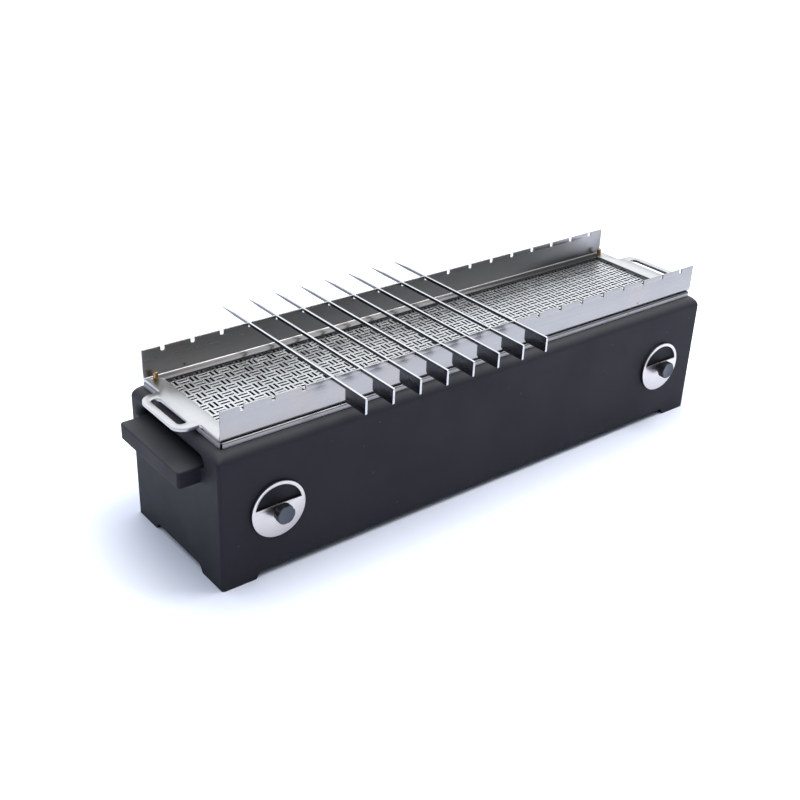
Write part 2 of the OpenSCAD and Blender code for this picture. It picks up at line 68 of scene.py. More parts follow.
# Stretch of brushed lines that run along the grill, across it, and round the hardware
ALONG = (5.0, 1500.0, 1500.0)
ACROSS = (1500.0, 5.0, 1500.0)
ROUND = (900.0, 60.0, 900.0)
UP = (0.0, 0.0, 1.0)
WHITE = (1.0, 1.0, 1.0, 1.0)
# Numbers of the skewers and of the pins
SKEWERS = range(1, 9)
PINS = range(1, 5)


# Sizes and colours


def length(name, description, millimetres):
    default = millimetres * MM
    return FloatProperty(
        name=name, description=description, default=default, min=0.0, subtype="DISTANCE", unit="LENGTH"
    )


def colour(name, description, *rgb):
    return FloatVectorProperty(
        name=name, description=description, default=rgb, size=3, min=0.0, max=1.0, subtype="COLOR"
    )


def scalar(name, description, value, unit="NONE"):
    return FloatProperty(name=name, description=description, default=value, min=0.0, unit=unit)


def position(name, description, *xyz):
    return FloatVectorProperty(
        name=name, description=description, default=xyz, size=3, subtype="TRANSLATION", unit="LENGTH"
    )


class GRILL_PG_body(PropertyGroup):
    """Sizes of the black trough body"""

    corner: length("Corner", "Radius of the upright corners", 4.0)
    ball: scalar("Ball", "Widening of the corners over the shoulder", 0.75)
    shoulder: length("Shoulder", "Radius along the top edge", 14.0)
    wall_side: length("Side wall", "Thickness of the long walls", 26.0)
    wall_end: length("End wall", "Thickness of the end walls", 28.0)
    cavity_round: length("Cavity round", "Radius of the cavity's corners", 8.0)
    floor: length("Floor", "Height of the trough's floor", 27.5)
    foot_height: length("Foot height", "Height of the feet", 9.5)
    foot_length: length("Foot length", "Foot along the grill", 45.0)
    foot_width: length("Foot width", "Foot across the grill", 46.0)
    foot_lean: length("Foot lean", "Lean of a foot's inner faces", 5.0)
    foot_round: length("Foot round", "Radius where a foot meets the underside", 4.0)
    foot_under: length("Foot under", "Cut below the table between the feet", 2.0)
    edge: length("Edge", "Softness of the cast edges", 1.2)
    ledge_reach: length("Ledge reach", "Ledge past the end wall", 27.0)
    ledge_root: length("Ledge root", "Ledge inside the end wall", 13.5)
    ledge_height: length("Ledge height", "Thickness of a ledge", 22.0)
    ledge_top: length("Ledge top", "Height of a ledge's upper face", 147.4)
    ledge_length: length("Ledge length", "Ledge across the grill", 139.0)
    ledge_shift: length("Ledge shift", "Shift of a ledge to the back", 8.5)
    ledge_edge: length("Ledge edge", "Radius of a ledge's edges", 2.4)
    ledge_corner: length("Ledge corner", "Radius of a ledge's upright corners", 3.6)
    hollow_depth: length("Hollow depth", "Depth of the finger hollow", 15.0)
    hollow_height: length("Hollow height", "Finger hollow above the ledge", 22.0)
    hollow_lip: length("Hollow lip", "Radius of the lip round the hollow", 14.0)
    hollow_low: length("Hollow low", "Finger hollow below the ledge's top", 2.5)
    hollow_over: length("Hollow over", "Hollow past the ledge's ends", 0.5)
    hollow_foot: length("Hollow foot", "Radius of the lower corners", 3.0)
    hollow_top: length("Hollow top", "Radius of the upper corners inside", 6.0)
    hollow_flare: scalar("Hollow flare", "Widening of the upper corners to the lip", 0.8)


class GRILL_PG_grate(PropertyGroup):
    """Sizes of the lift-off grate"""

    sheet: length("Sheet", "Thickness of the frame", 4.0)
    upright: length("Upright", "Thickness of a rail above its fold", 2.0)
    thinning: length("Thinning", "Height over which a rail thins", 4.0)
    fold: length("Fold", "Outer radius of a rail's fold", 5.5)
    foot: length("Foot", "Flat strip before the fold", 0.5)
    edge: length("Edge", "Softness of the cut edges", 0.35)
    pitch: length("Pitch", "Distance from notch to notch", 40.0)
    notches: IntProperty(name="Notches", description="Notches in a rail", default=19, min=3)
    notch_width: length("Notch width", "Width of a notch", 5.2)
    notch_depth: length("Notch depth", "Depth of a notch", 6.2)
    notch_round: length("Notch round", "Radius of a notch's lower corners", 1.0)
    notch_edge: length("Notch edge", "Radius of a notch's upper corners", 0.3)
    window_round: length("Window round", "Radius of the window's corners", 0.8)
    end_strip: length("End strip", "Frame beyond the window's end", 19.2)
    side_strip: length("Side strip", "Window to the rail's outer face", 18.7)
    loop_width: length("Loop width", "Width of a loop handle", 94.0)
    loop_round: length("Loop round", "Radius of a loop's outer corners", 16.0)
    loop_root: length("Loop root", "Radius where a loop leaves the frame", 3.0)
    loop_bar: length("Loop bar", "Metal outside the finger slot", 8.4)
    finger_length: length("Finger length", "Length of the finger slot", 69.0)
    finger_width: length("Finger width", "Width of the finger slot", 12.4)
    finger_round: length("Finger round", "Radius of the finger slot's corners", 5.8)
    pin_inset_x: length("Pin inset X", "Pin axis from the frame's end", 11.2)
    pin_inset_y: length("Pin inset Y", "Pin axis from the rail's outer face", 11.6)
    pin_hole: length("Pin hole", "Radius of a pin's hole", 3.3)


class GRILL_PG_weave(PropertyGroup):
    """Sizes of the basket-weave perforation"""

    cell_x: length("Cell X", "Weave cell along the grill", 13.54)
    cell_y: length("Cell Y", "Weave cell across the grill", 14.0)
    slot_length: length("Slot length", "Length of a slot", 12.2)
    slot_width: length("Slot width", "Width of a slot", 3.0)
    web: length("Web", "Metal between the slots of a pair", 3.2)
    shift_x: length("Shift X", "Shift of the weave along the grill", 2.8)
    shift_y: length("Shift Y", "Shift of the weave across the grill", 5.5)
    lap: length("Lap", "Sheet under the frame", 2.2)
    hidden: length("Hidden cut", "Slots under the frame", 0.6)
    least: length("Least", "Length of slot that is still cut", 0.5)
    edge: length("Edge", "Softness of the punched edges", 0.15)


class GRILL_PG_skewer(PropertyGroup):
    """Sizes of a skewer"""

    bar: length("Bar", "Height of the bar", 4.0)
    plate: length("Plate", "Length of the handle plate", 38.0)
    cut: length("Cut", "Cut across the plate's inner corner", 3.0)
    plate_front: length("Plate front", "Radius of the lower front corner", 0.8)
    plate_top: length("Plate top", "Radius of the upper front corner", 1.5)
    plate_cut: length("Plate cut", "Radius of the cut's corners", 0.5)
    plate_inner: length("Plate inner", "Radius where plate and bar meet", 0.6)
    point: length("Point", "Length of the point", 30.0)
    tip_low: length("Tip low", "Tip's lower edge above the bar's", 0.6)
    tip_high: length("Tip high", "Tip's upper edge above the bar's lower one", 1.8)
    taper: scalar("Taper", "Share of its thickness that the point loses", 0.73)
    edge: length("Edge", "Softness of the edges", 0.35)


class GRILL_PG_vent(PropertyGroup):
    """Sizes of a vent disc and its knob"""

    ring: length("Ring", "Metal round the half-moon", 4.2)
    chord: length("Chord", "Half-moon's straight edge above the axis", 6.6)
    hole: length("Wall hole", "Radius of the half-moon in the wall", 30.0)
    bore: length("Bore", "Radius of the stud's bore", 3.06)
    neck: length("Neck", "Length of the knob's neck", 6.0)
    neck_radius: length("Neck radius", "Radius of the knob's neck", 7.0)
    neck_edge: length("Neck edge", "Chamfer at the neck's foot", 0.6)
    neck_rise: length("Neck rise", "Length of the flare below the head", 1.0)
    neck_flare: length("Neck flare", "Width of the flare below the head", 0.5)
    lobes: IntProperty(name="Lobes", description="Lobes round a knob", default=6, min=3)
    dip: length("Dip", "Depth of the hollows between the lobes", 1.2)
    flute: length("Flute", "Radius of the hollows between the lobes", 4.5)
    face: length("Face", "Radius between a knob's face and side", 1.5)
    face_flat: length("Face flat", "Flat ring round the dished face", 0.5)
    face_slope: length("Face slope", "Slope inside the flat ring", 0.4)
    face_dish: length("Face dish", "Depth of the dished face", 0.2)
    edge: length("Edge", "Softness of the disc's edges", 0.3)


class GRILL_PG_finish(PropertyGroup):
    """Colours of the grill"""

    black: colour("Cast black", "The trough body", 0.0135, 0.0133, 0.020)
    speck: colour("Speck", "Pale specks on the body", 0.22, 0.22, 0.24)
    # Painted highlight: colour that lightens the body's upward faces, where overhead light falls
    top_highlight: colour("Top highlight", "Ash dust on the body's tops", 0.058, 0.058, 0.065)
    steel: colour("Frame", "The grate's frame", 0.435, 0.435, 0.44)
    weave: colour("Weave", "The woven sheet", 0.49, 0.50, 0.51)
    scorched: colour("Scorched", "Cut walls of the weave's slots", 0.085, 0.07, 0.055)
    rail: colour("Rails", "The notched rails", 0.33, 0.328, 0.332)
    # Painted shade: a dark copy of the frame's steel for the flat strips beside the rails, standing in for
    # the shaded slope down from the rails' folds
    strip: colour("Strips", "The frame beside the rails", 0.14, 0.14, 0.145)
    skewer: colour("Skewers", "The flat skewers", 0.52, 0.52, 0.55)
    # Painted reflection: dark colour for the skewers' flat sides, standing in for the dark surroundings they
    # mirror
    side_reflection: colour("Side reflection", "Dark sides of the skewers", 0.075, 0.078, 0.09)
    disc: colour("Discs", "The vent discs", 0.575, 0.55, 0.55)
    rim: colour("Rim", "The folded rim", 0.25, 0.25, 0.26)
    brass: colour("Brass", "The locating pins", 0.43, 0.28, 0.125)
    tarnish: colour("Tarnish", "Tarnish on the brass", 0.30, 0.17, 0.09)
    knob: colour("Knobs", "The vent knobs", 0.014, 0.015, 0.018)
    # Painted reflection: a lighter copy of the knob plastic for the knobs' faces, standing in for the bright
    # floor they mirror
    knob_face: colour("Knob faces", "The knobs' round faces", 0.069, 0.079, 0.105)
    liner: colour("Liner", "The fire liner", 0.32, 0.29, 0.27)
    grid: colour("Grid", "The charcoal grid", 0.20, 0.18, 0.17)
    tray: colour("Tray", "The ash tray", 0.34, 0.33, 0.32)
    hardware: colour("Hardware", "Nuts, studs and washers", 0.50, 0.50, 0.52)
    soot_and_corner_dark: colour("Soot", "Baked soot in the trough", 0.012, 0.010, 0.009)
    tint: colour("Heat tint", "Straw-brown heat colour", 0.50, 0.36, 0.25)
    rust: colour("Rust", "Small rust specks", 0.22, 0.08, 0.03)
    floor: colour("Floor", "The plain floor", 0.82, 0.86, 0.99)


class GRILL_PG_stage(PropertyGroup):
    """Light and camera"""

    key: scalar("Key", "Power of the large lamp at the front right", 28.0, "POWER")
    key_size: length("Key size", "Side of the large lamp", 1100.0)
    key_place: position("Key place", "Place of the large lamp", 0.9, -0.5, 2.1)
    key_tone: colour("Key tone", "Colour of the large lamp", 1.0, 0.98, 0.95)
    fill: scalar("Fill", "Power of the lamp at the left", 0.5, "POWER")
    fill_size: length("Fill size", "Side of the left lamp", 1200.0)
    fill_place: position("Fill place", "Place of the left lamp", -1.8, -0.2, 0.9)
    fill_tone: colour("Fill tone", "Colour of the left lamp", 0.88, 0.93, 1.0)
    aim: position("Aim", "Point that both lamps face", 0.0, 0.0, 0.1)
    sky: scalar("Sky", "Strength of the surroundings at the horizon", 0.75)
    zenith: scalar("Upper sky", "Their strength half way up", 2.2)
    overhead: scalar("Overhead", "Share of that left straight overhead", 0.66)
    shade: scalar("Shade", "Share left low down in front", 0.08)
    end_shade: scalar("End shade", "Share left at the left", 0.15)
    sky_tone: colour("Sky tone", "Colour of the surroundings", 0.94, 0.97, 1.0)
    left_tone: colour("Left tone", "Their colour at the left", 0.84, 0.91, 1.0)
    floor_size: length("Floor size", "Side of the floor", 12000.0)
    floor_lift: scalar("Floor lift", "White added to the floor for the camera", 0.45)
    # Painted shade: the lift fades out towards the grill, so the floor near it is painted darker
    lift_to: length("Lift to", "Distance from the grill of the full lift", 150.0)
    lens: scalar("Lens", "Focal length in mm", 52.375)
    sensor: scalar("Sensor", "Width of the sensor in mm", 36.0)
    camera_place: position("Camera place", "Place of the camera", -0.9194, -1.0438, 0.8216)
    camera_view: position("Camera view", "Direction of the view", 0.55748, 0.68418, -0.47022)
    roll: FloatProperty(name="Roll", description="Turn of the view", default=radians(-2.426), subtype="ANGLE")


# Mesh making


def new_piece(name, bm, smooth_angle=35):
    """Makes an object of a mesh whose points are already in the grill's own frame."""
    bmesh.ops.recalc_face_normals(bm, faces=bm.faces)
    mesh = bpy.data.meshes.new(name)
    bm.to_mesh(mesh)
    bm.free()
    piece = bpy.data.objects.new(name, mesh)
    bpy.context.scene.collection.objects.link(piece)
    shade(piece, smooth_angle)
    return piece


def shade(piece, smooth_angle=35):
    piece.data.polygons.foreach_set("use_smooth", [True] * len(piece.data.polygons))
    piece.data.set_sharp_from_angle(angle=radians(smooth_angle))


def outline(*corners):
    """Closed outline through corners (u, v, radius), going anticlockwise, each rounded by an arc."""
    points = []
    for i, (u, v, radius) in enumerate(corners):
        here = Vector((u, v))
        if radius <= 0:
            points.append(here)
            continue
        back = (Vector(corners[i - 1][:2]) - here).normalized()
        ahead = (Vector(corners[(i + 1) % len(corners)][:2]) - here).normalized()
        half = back.angle(ahead) / 2
        centre = here + (back + ahead).normalized() * (radius / sin(half))
        start = here + back * (radius / tan(half)) - centre
        left = back.y * ahead.x - back.x * ahead.y > 0
        turn = (pi - 2 * half) * (1 if left else -1)
        steps = max(2, round(abs(turn) / ARC_STEP))
        points += [centre + Matrix.Rotation(turn * k / steps, 2) @ start for k in range(steps + 1)]
    return points


def box_outline(u0, u1, v0, v1, radius=0.0):
    return outline((u0, v0, radius), (u1, v0, radius), (u1, v1, radius), (u0, v1, radius))


def ring_outline(u, v, radius, count=48):
    angles = [2 * pi * k / count for k in range(count)]
    return [Vector((u + radius * cos(a), v + radius * sin(a))) for a in angles]


def quarter(steps, first=0):
    """Angles of a quarter turn in equal steps."""
    return [pi / 2 * k / steps for k in range(first, steps + 1)]


def join_rings(bm, lower, upper):
    """Faces between two closed rings of equally many points."""
    for k in range(len(lower)):
        j = (k + 1) % len(lower)
        bm.faces.new((lower[k], lower[j], upper[j], upper[k]))


PLANES = {
    "XY": lambda u, v, w: Vector((u, v, w)),
    "XZ": lambda u, v, w: Vector((u, w, v)),
    "YZ": lambda u, v, w: Vector((w, u, v)),
}


def inset_vectors(loop, square):
    """For each point of a loop, the step into the metal that moves both its edges in by one unit."""
    vectors = []
    count = len(loop)
    for i, here in enumerate(loop):
        before, after = loop[i - 1], loop[(i + 1) % count]
        first, second = here - before, after - here
        n1 = Vector((-first.y, first.x)).normalized()
        n2 = Vector((-second.y, second.x)).normalized()
        w1 = 0.0 if square and square(before, here) else 1.0
        w2 = 0.0 if square and square(here, after) else 1.0
        if w1 == w2:
            vectors.append((n1 + n2) * (w1 / (1 + n1.dot(n2))))
        else:
            det = n1.x * n2.y - n1.y * n2.x
            vectors.append(Vector(((w1 * n2.y - w2 * n1.y) / det, (n1.x * w2 - n2.x * w1) / det)))
    return vectors


def sheet_mesh(outer, holes, low, high, plane, edge, steps=2, square=None):
    """Flat piece between two levels: rings climb over the rounded edges, and the faces are filled."""
    bm = bmesh.new()
    place = PLANES[plane]
    levels = [(edge * (1 - sin(a)), low + edge * (1 - cos(a))) for a in quarter(steps)]
    levels += [(inset, low + high - depth) for inset, depth in reversed(levels)]
    caps = ([], [])
    for loop in [outer] + [list(reversed(hole)) for hole in holes]:
        vectors = inset_vectors(loop, square)
        rings = []
        for inset, depth in levels:
            moved = [point + step * inset for point, step in zip(loop, vectors)]
            rings.append([bm.verts.new(place(*point, depth)) for point in moved])
        for lower, upper in zip(rings, rings[1:]):
            join_rings(bm, lower, upper)
        for cap, ring in zip(caps, (rings[0], rings[-1])):
            cap += [bm.edges.get((ring[k], ring[(k + 1) % len(ring)])) for k in range(len(ring))]
    for cap in caps:
        bmesh.ops.triangle_fill(bm, use_beauty=True, edges=cap)
    return bm


def prism(name, points, low, high, plane):
    """Plain prism, used only to cut other pieces."""
    place = PLANES[plane]
    return loft(name, [[place(p.x, p.y, level) for p in points] for level in (low, high)])


def loft(name, rings):
    """Closed piece through rings of equally many points, with flat ends."""
    bm = bmesh.new()
    made = [[bm.verts.new(p) for p in ring] for ring in rings]
    bm.faces.new(made[0])
    bm.faces.new(made[-1])
    for lower, upper in zip(made, made[1:]):
        join_rings(bm, lower, upper)
    return new_piece(name, bm)


def settle(piece):
    """Turns a piece's modifiers into its mesh."""
    graph = bpy.context.evaluated_depsgraph_get()
    mesh = bpy.data.meshes.new_from_object(piece.evaluated_get(graph))
    piece.modifiers.clear()
    old = piece.data
    piece.data = mesh
    bpy.data.meshes.remove(old)


def carve(piece, cutters, operation="DIFFERENCE"):
    for cutter in cutters:
        boolean = piece.modifiers.new("carve", "BOOLEAN")
        boolean.operation = operation
        boolean.solver = "MANIFOLD"
        boolean.object = cutter
    settle(piece)
    for cutter in cutters:
        bpy.data.objects.remove(cutter)


def soften(piece, width, angle=38, segments=3):
    """Rounds the sharp edges that cutting has left."""
    bm = bmesh.new()
    bm.from_mesh(piece.data)
    bmesh.ops.remove_doubles(bm, verts=bm.verts, dist=WELD)
    bmesh.ops.dissolve_limit(bm, angle_limit=FLAT, verts=bm.verts, edges=bm.edges)
    bm.to_mesh(piece.data)
    bm.free()
    bevel = piece.modifiers.new("soften", "BEVEL")
    bevel.width = width
    bevel.segments = segments
    bevel.limit_method = "ANGLE"
    bevel.angle_limit = radians(angle)
    bevel.use_clamp_overlap = True
    bevel.loop_slide = False
    bevel.miter_outer = "MITER_ARC"
    settle(piece)
    shade(piece)
    weighted = piece.modifiers.new("flat faces", "WEIGHTED_NORMAL")
    weighted.keep_sharp = True
    settle(piece)


def lathe(name, place, profile, around=40, radius_at=None):
    """Turned piece of (distance along the axis, radius) pairs; place turns (u, v, along) into a point."""
    angles = [2 * pi * k / around for k in range(around)]
    rings = []
    for along, radius in profile:
        radii = [radius_at(radius, a) if radius_at else radius for a in angles]
        rings.append([place(r * cos(a), r * sin(a), along) for r, a in zip(radii, angles)])
    return loft(name, rings)


# Shader groups, shared by the materials


def new_group(name, inputs, *outputs):
    """Empty shader group. A default says whether an input is a number or a vector; outputs are numbers."""
    group = bpy.data.node_groups.new(name, "ShaderNodeTree")
    for label, default in inputs.items():
        kind = "NodeSocketFloat" if isinstance(default, float) else "NodeSocketVector"
        socket = group.interface.new_socket(name=label, in_out="INPUT", socket_type=kind)
        socket.default_value = default
    for label in outputs:
        group.interface.new_socket(name=label, in_out="OUTPUT", socket_type="NodeSocketFloat")
    return group, group.nodes.new("NodeGroupInput").outputs, group.nodes.new("NodeGroupOutput")


def fill(tree, node, **inputs):
    """Fills a node's sockets with values or links; n0, n1 and so on are sockets by their number."""
    for key, value in inputs.items():
        by_number = key[0] == "n" and key[1:].isdigit()
        socket = node.inputs[int(key[1:]) if by_number else key.replace("_", " ")]
        if isinstance(value, bpy.types.NodeSocket):
            tree.links.new(value, socket)
        else:
            socket.default_value = value
    return node


def add(tree, kind, settings=None, **inputs):
    """Adds a node, sets its settings and fills its sockets."""
    made = tree.nodes.new(kind)
    for key, value in (settings or {}).items():
        setattr(made, key, value)
    return fill(tree, made, **inputs)


def coordinate(tree, kind="Object"):
    return add(tree, "ShaderNodeTexCoord").outputs[kind]


def vector_math(tree, operation, a, b=(0.0, 0.0, 0.0)):
    return add(tree, "ShaderNodeVectorMath", {"operation": operation}, n0=a, n1=b)


def noise(tree, place, scale, detail, roughness, distortion=0.0):
    settings = {"Scale": scale, "Detail": detail, "Roughness": roughness, "Distortion": distortion}
    return add(tree, "ShaderNodeTexNoise", Vector=place, **settings).outputs[0]


def calc(tree, operation, a, b=0.0, clamp=False):
    return add(tree, "ShaderNodeMath", {"operation": operation, "use_clamp": clamp}, n0=a, n1=b).outputs[0]


def times(tree, a, b):
    return calc(tree, "MULTIPLY", a, b)


def scaled(base_colour, factor):
    return [c * factor for c in base_colour]


def ramp(tree, value, low, high, out_low=0.0, out_high=1.0):
    ends = {"From_Min": low, "From_Max": high, "To_Min": out_low, "To_Max": out_high}
    settings = {"interpolation_type": "SMOOTHSTEP"}
    return add(tree, "ShaderNodeMapRange", settings, Value=value, **ends).outputs["Result"]


def mix(tree, factor, a, b):
    """Blends two colours, each a link or three numbers."""
    a, b = (c if isinstance(c, bpy.types.NodeSocket) else (*c, 1.0) for c in (a, b))
    return add(tree, "ShaderNodeMix", {"data_type": "RGBA"}, n0=factor, n6=a, n7=b).outputs[2]


def make_grain_group():
    """Fine pitting and slow mottling of a cast or moulded surface."""
    inputs = {"Size": 1200.0, "Mottle size": 9.0}
    group, given, outside = new_group("Cast grain", inputs, "Height", "Mottle", "Pits")
    place = coordinate(group)
    size = given["Size"]
    fine = noise(group, place, size, 3.0, 0.6)
    coarse = noise(group, place, given["Mottle size"], 5.0, 0.6)
    cells = add(group, "ShaderNodeTexVoronoi", Vector=place, Scale=times(group, size, 0.35))
    pits = ramp(group, cells.outputs["Distance"], 0.05, 0.35)
    height = calc(group, "ADD", fine, times(group, pits, 0.35))
    fill(group, outside, Height=height, Mottle=coarse, Pits=pits)
    return group


def make_brushed_group():
    """Fine parallel lines from brushing; Stretch sets how far they run along each axis."""
    group, given, outside = new_group("Brushed lines", {"Stretch": ALONG}, "Lines", "Bands")
    place = vector_math(group, "MULTIPLY", coordinate(group), given["Stretch"]).outputs[0]
    fill(group, outside, Lines=noise(group, place, 1.0, 3.0, 0.65), Bands=noise(group, place, 0.13, 2.0, 0.5))
    return group


def make_smudge_group():
    """Soft handling marks and faint patches."""
    group, given, outside = new_group("Smudges", {"Size": 14.0, "Amount": 0.5}, "Mask")
    patches = noise(group, coordinate(group), given["Size"], 6.0, 0.7, 0.8)
    fill(group, outside, Mask=times(group, ramp(group, patches, 0.48, 0.72), given["Amount"]))
    return group


def make_speck_group():
    """Sparse small dots, such as dust or rust specks."""
    group, given, outside = new_group("Specks", {"Size": 150.0, "Share": 0.05}, "Mask")
    cells = add(group, "ShaderNodeTexVoronoi", Vector=coordinate(group), Scale=given["Size"])
    dots = ramp(group, cells.outputs["Distance"], 0.28, 0.12)
    draw = add(group, "ShaderNodeSeparateXYZ", Vector=cells.outputs["Color"]).outputs[0]
    fill(group, outside, Mask=times(group, dots, calc(group, "LESS_THAN", draw, given["Share"])))
    return group


def make_edge_group():
    """Masks for worn outer edges and for occluded inner corners."""
    inputs = {"Edge width": 3 * MM, "Corner width": 20 * MM}
    group, given, outside = new_group("Edges and corners", inputs, "Edge", "Corner")
    kind = "ShaderNodeAmbientOcclusion"
    outer = add(group, kind, {"inside": True, "samples": 4}, Distance=given["Edge width"])
    inner = add(group, kind, {"samples": 4}, Distance=given["Corner width"])
    edge = ramp(group, outer.outputs["AO"], 0.75, 0.35)
    corner = ramp(group, inner.outputs["AO"], 0.85, 0.25)
    fill(group, outside, Edge=edge, Corner=corner)
    return group


def make_facing_group():
    """How far a surface faces along an axis, and how far it faces along it either way."""
    group, given, outside = new_group("Facing", {"Axis": UP}, "Along", "Either way")
    normal = coordinate(group, "Normal")
    facing = vector_math(group, "DOT_PRODUCT", normal, given["Axis"]).outputs["Value"]
    fill(group, outside, Along=facing, Either_way=calc(group, "ABSOLUTE", facing))
    return group


GROUP_MAKERS = {
    "Cast grain": make_grain_group,
    "Brushed lines": make_brushed_group,
    "Smudges": make_smudge_group,
    "Specks": make_speck_group,
    "Edges and corners": make_edge_group,
    "Facing": make_facing_group,
}


def place_group(tree, name, **inputs):
    """Uses a shared group, made once, and gives its outputs."""
    group = bpy.data.node_groups.get(name) or GROUP_MAKERS[name]()
    return add(tree, "ShaderNodeGroup", {"node_tree": group}, **inputs).outputs


# Materials


def new_material(name):
    """Empty material with its Principled shader."""
    made = bpy.data.materials.new(name)
    made.use_nodes = True
    return made, made.node_tree, made.node_tree.nodes["Principled BSDF"]


def bump(tree, shader, height, strength, distance):
    made = add(tree, "ShaderNodeBump", Height=height, Strength=strength, Distance=distance)
    tree.links.new(made.outputs["Normal"], shader.inputs["Normal"])


def cast_black():
    """Heat-proof black coat on a cast body: fine grain, slow mottling, rubbed edges, and a painted highlight
    on its upward faces, held back as painted shade in occluded corners.
    """
    finish = bpy.context.scene.grill_finish
    made, tree, shader = new_material("cast_black")
    grain = place_group(tree, "Cast grain", Size=1500.0, Mottle_size=11.0)
    edges = place_group(tree, "Edges and corners", Edge_width=2.5 * MM, Corner_width=30 * MM)
    specks = place_group(tree, "Specks", Size=260.0, Share=0.004)
    upward = place_group(tree, "Facing", Axis=UP)
    mottle = grain["Mottle"]
    base = mix(tree, ramp(tree, mottle, 0.3, 0.7), scaled(finish.black, 0.95), scaled(finish.black, 1.06))
    base = mix(tree, times(tree, edges["Edge"], 0.35), base, scaled(finish.black, 2.2))
    base = mix(tree, times(tree, specks["Mask"], 0.3), base, finish.speck)
    # Painted highlight on upward faces, mottled; the corner mask takes it back in occluded corners, such as
    # under the loop handles, as painted shade
    painted_top_light = ramp(tree, upward["Along"], 0.1, 0.9)
    painted_top_light = times(tree, painted_top_light, ramp(tree, mottle, 0.2, 0.6, 0.8, 1.0))
    painted_top_light = times(tree, painted_top_light, ramp(tree, edges["Corner"], 0.0, 1.0, 1.0, 0.2))
    base = mix(tree, painted_top_light, base, finish.top_highlight)
    roughness = ramp(tree, mottle, 0.25, 0.75, 0.56, 0.68)
    fill(tree, shader, Base_Color=base, Roughness=roughness, Specular_IOR_Level=0.22)
    bump(tree, shader, grain["Height"], 0.35, 0.4 * MM)
    return made


def brushed_steel(
    name, base_colour, stretch=ALONG, rough=(0.24, 0.40), tint=0.0, rust=0.0, lines=0.03, side_reflection_share=0.0, cuts=0.0
):
    """Satin sheet: brushed lines, handling marks, straw heat tint and a few rust specks."""
    finish = bpy.context.scene.grill_finish
    made, tree, shader = new_material(name)
    brushed = place_group(tree, "Brushed lines", Stretch=stretch)
    smudges = place_group(tree, "Smudges", Size=16.0, Amount=1.0)["Mask"]
    tinted = place_group(tree, "Smudges", Size=7.0, Amount=tint)
    specks = place_group(tree, "Specks", Size=120.0, Share=rust)
    base = mix(tree, ramp(tree, brushed["Lines"], 0.3, 0.7), scaled(base_colour, 0.94), base_colour)
    base = mix(tree, times(tree, smudges, 0.12), base, scaled(base_colour, 0.8))
    base = mix(tree, tinted["Mask"], base, finish.tint)
    # Painted reflection: faces turned along X, the skewers' flat sides, are darkened for the dark
    # surroundings they mirror
    if side_reflection_share:
        sides = place_group(tree, "Facing", Axis=(1.0, 0.0, 0.0))
        base = mix(tree, ramp(tree, sides["Either way"], 0.6, 0.95, 0.0, side_reflection_share), base, finish.side_reflection)
    if cuts:
        level = place_group(tree, "Facing", Axis=UP)
        base = mix(tree, ramp(tree, level["Either way"], 0.6, 0.1, 0.0, cuts), base, finish.scorched)
    base = mix(tree, times(tree, specks["Mask"], 0.8), base, finish.rust)
    polish = calc(tree, "ADD", times(tree, brushed["Bands"], 0.6), times(tree, smudges, 0.4))
    fill(tree, shader, Base_Color=base, Metallic=1.0, Roughness=ramp(tree, polish, 0.15, 0.6, *rough))
    bump(tree, shader, brushed["Lines"], lines, 0.2 * MM)
    return made


def sooty_metal(name, base_colour, amount, rough):
    """Heat-dulled metal inside the trough, soot over most of it, and darker in occluded inner corners."""
    finish = bpy.context.scene.grill_finish
    made, tree, shader = new_material(name)
    grain = place_group(tree, "Cast grain", Size=700.0, Mottle_size=18.0)
    edges = place_group(tree, "Edges and corners", Edge_width=2 * MM, Corner_width=30 * MM)
    mottle = grain["Mottle"]
    patches = ramp(tree, mottle, 0.35, 0.6, amount - 0.3, amount)
    # Soot patches, plus darkening in occluded inner corners
    soot_and_corner_dark = calc(tree, "ADD", patches, times(tree, edges["Corner"], 0.3), True)
    bare = mix(tree, ramp(tree, grain["Pits"], 0.0, 1.0), finish.tint, base_colour)
    base = mix(tree, soot_and_corner_dark, bare, finish.soot_and_corner_dark)
    roughness = ramp(tree, mottle, 0.3, 0.7, rough - 0.1, rough + 0.12)
    fill(tree, shader, Base_Color=base, Metallic=calc(tree, "SUBTRACT", 1.0, soot_and_corner_dark, True), Roughness=roughness)
    bump(tree, shader, grain["Height"], 0.3, 0.5 * MM)
    return made


def turned_brass():
    """Satin brass with lathe rings and a little tarnish."""
    finish = bpy.context.scene.grill_finish
    made, tree, shader = new_material("turned_brass")
    lines = place_group(tree, "Brushed lines", Stretch=(120.0, 120.0, 5000.0))
    smudges = place_group(tree, "Smudges", Size=160.0, Amount=0.7)
    base = mix(tree, ramp(tree, lines["Lines"], 0.3, 0.7), scaled(finish.brass, 0.8), finish.brass)
    base = mix(tree, smudges["Mask"], base, finish.tarnish)
    roughness = ramp(tree, lines["Bands"], 0.3, 0.7, 0.26, 0.42)
    fill(tree, shader, Base_Color=base, Metallic=1.0, Roughness=roughness)
    bump(tree, shader, lines["Lines"], 0.15, 0.2 * MM)
    return made


def moulded_plastic(name, base_colour):
    """Satin moulded plastic with a fine spark-eroded grain."""
    made, tree, shader = new_material(name)
    grain = place_group(tree, "Cast grain", Size=2600.0, Mottle_size=60.0)
    edges = place_group(tree, "Edges and corners", Edge_width=1.2 * MM, Corner_width=4 * MM)
    mottle = grain["Mottle"]
    base = mix(tree, ramp(tree, mottle, 0.3, 0.7), scaled(base_colour, 0.9), scaled(base_colour, 1.1))
    base = mix(tree, times(tree, edges["Edge"], 0.5), base, scaled(base_colour, 1.6))
    roughness = ramp(tree, mottle, 0.3, 0.7, 0.34, 0.46)
    fill(tree, shader, Base_Color=base, Roughness=roughness, Specular_IOR_Level=0.3)
    bump(tree, shader, grain["Height"], 0.25, 0.2 * MM)
    return made


